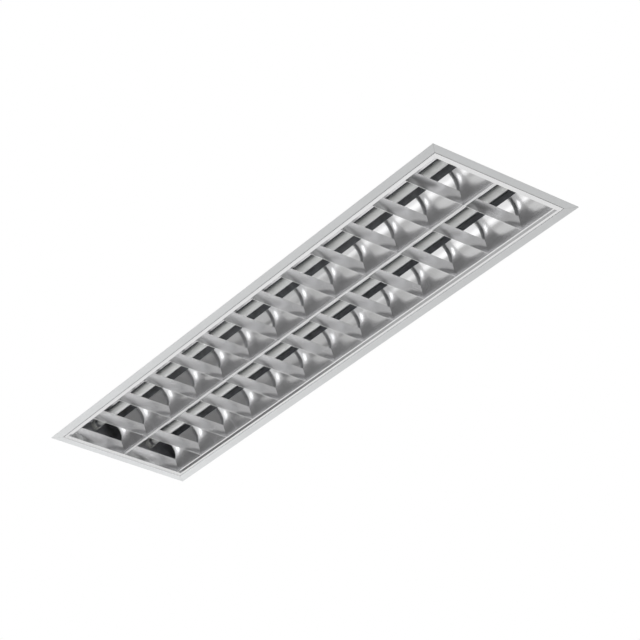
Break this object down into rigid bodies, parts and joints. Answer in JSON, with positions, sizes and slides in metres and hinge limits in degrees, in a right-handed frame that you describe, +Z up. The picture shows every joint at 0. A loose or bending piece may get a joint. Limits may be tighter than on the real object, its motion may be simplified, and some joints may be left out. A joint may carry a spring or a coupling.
{
  "type": "recessed troffer light",
  "caption": "Recessed lay-in ceiling light for tube lamps: a shallow steel housing with a flat trim frame and a hinged parabolic louvre of curved reflectors and cross blades.",
  "frame": {"origin": "centre of the trim frame's flat underside, the face that rests on the ceiling's T-bars", "axes": "+X along the lamps, +Y across them towards the catches, +Z up into the ceiling void; the louvre faces -Z"},
  "size_m": [1.195, 0.295, 0.0882],
  "materials": {
    "powder_coat": "satin white powder coat on sheet steel",
    "galvanised_steel": "hot-dip galvanised sheet with soft spangle",
    "louvre_aluminium": "semi-specular anodised sheet",
    "rivet_aluminium": "plain",
    "zinc_steel": "bright zinc plate",
    "spring_steel": "rolled spring strip",
    "lamp_glass": "glass with a white phosphor lining",
    "lamp_cap": "drawn cap, brass-coloured pins",
    "rotor_plastic": "moulded",
    "holder_plastic": "moulded white",
    "gear_case": "white painted case",
    "terminal_plastic": "moulded",
    "brass": "plain",
    "lead_insulation": "smooth insulation",
    "grommet_rubber": "moulded"
  },
  "bodies": {
    "housing": {"trim_frame": "powder_coat", "housing_tray": "galvanised_steel", "end_plate_1": "galvanised_steel", "end_plate_2": "galvanised_steel", "gear_cover": "galvanised_steel", "frame_rivets": "rivet_aluminium", "hinge_brackets": "zinc_steel", "hinge_pins": "zinc_steel", "catch_clips": "spring_steel", "clip_rivets": "zinc_steel", "lampholder_a1": "holder_plastic", "lampholder_a2": "holder_plastic", "lampholder_b1": "holder_plastic", "lampholder_b2": "holder_plastic", "holder_screws": "zinc_steel", "ballast": "gear_case", "terminal_block": "terminal_plastic", "terminal_screws": "zinc_steel", "supply_leads": "lead_insulation", "lamp_leads": "lead_insulation", "lead_clips": "holder_plastic", "cable_grommet": "grommet_rubber", "housing_screws": "zinc_steel", "housing_nuts": "zinc_steel", "earth_screw": "brass"},
    "louvre": {"louvre_spine": "louvre_aluminium", "louvre_side_a": "louvre_aluminium", "louvre_side_b": "louvre_aluminium", "louvre_end_1": "louvre_aluminium", "louvre_end_2": "louvre_aluminium", "louvre_hooks": "zinc_steel", "catch_tongues": "zinc_steel", "cross_blade_01": "louvre_aluminium", "cross_blade_02": "louvre_aluminium", "cross_blade_03": "louvre_aluminium", "cross_blade_04": "louvre_aluminium", "cross_blade_05": "louvre_aluminium", "cross_blade_06": "louvre_aluminium", "cross_blade_07": "louvre_aluminium", "cross_blade_08": "louvre_aluminium", "cross_blade_09": "louvre_aluminium", "cross_blade_10": "louvre_aluminium", "cross_blade_11": "louvre_aluminium", "cross_blade_12": "louvre_aluminium"},
    "lamp_a": {"lamp_tube_a": "lamp_glass", "lamp_caps_a": "lamp_cap", "holder_rotors_a": "rotor_plastic"},
    "lamp_b": {"lamp_tube_b": "lamp_glass", "lamp_caps_b": "lamp_cap", "holder_rotors_b": "rotor_plastic"},
    "clip_1": {"tbar_clip_1": "zinc_steel"},
    "clip_2": {"tbar_clip_2": "zinc_steel"},
    "clip_3": {"tbar_clip_3": "zinc_steel"},
    "clip_4": {"tbar_clip_4": "zinc_steel"}
  },
  "joints": [
    {"name": "louvre_swing", "type": "hinge", "parent": "housing", "child": "louvre", "pos_m": [0, -0.1336, 0.00305], "axis": [-1, 0, 0], "range_deg": [0, 90]},
    {"name": "lamp_a_turn", "type": "hinge", "parent": "housing", "child": "lamp_a", "pos_m": [0, -0.061, 0.0506], "axis": [1, 0, 0], "range_deg": [0, 90]},
    {"name": "lamp_b_turn", "type": "hinge", "parent": "housing", "child": "lamp_b", "pos_m": [0, 0.061, 0.0506], "axis": [1, 0, 0], "range_deg": [0, 90]},
    {"name": "clip_1_swing", "type": "hinge", "parent": "housing", "child": "clip_1", "pos_m": [-0.43, -0.1255, 0.0408], "axis": [0, 0, -1], "range_deg": [0, 90]},
    {"name": "clip_2_swing", "type": "hinge", "parent": "housing", "child": "clip_2", "pos_m": [-0.43, 0.1255, 0.0408], "axis": [0, 0, 1], "range_deg": [0, 90]},
    {"name": "clip_3_swing", "type": "hinge", "parent": "housing", "child": "clip_3", "pos_m": [0.43, -0.1255, 0.0408], "axis": [0, 0, 1], "range_deg": [0, 90]},
    {"name": "clip_4_swing", "type": "hinge", "parent": "housing", "child": "clip_4", "pos_m": [0.43, 0.1255, 0.0408], "axis": [0, 0, -1], "range_deg": [0, 90]}
  ]
}
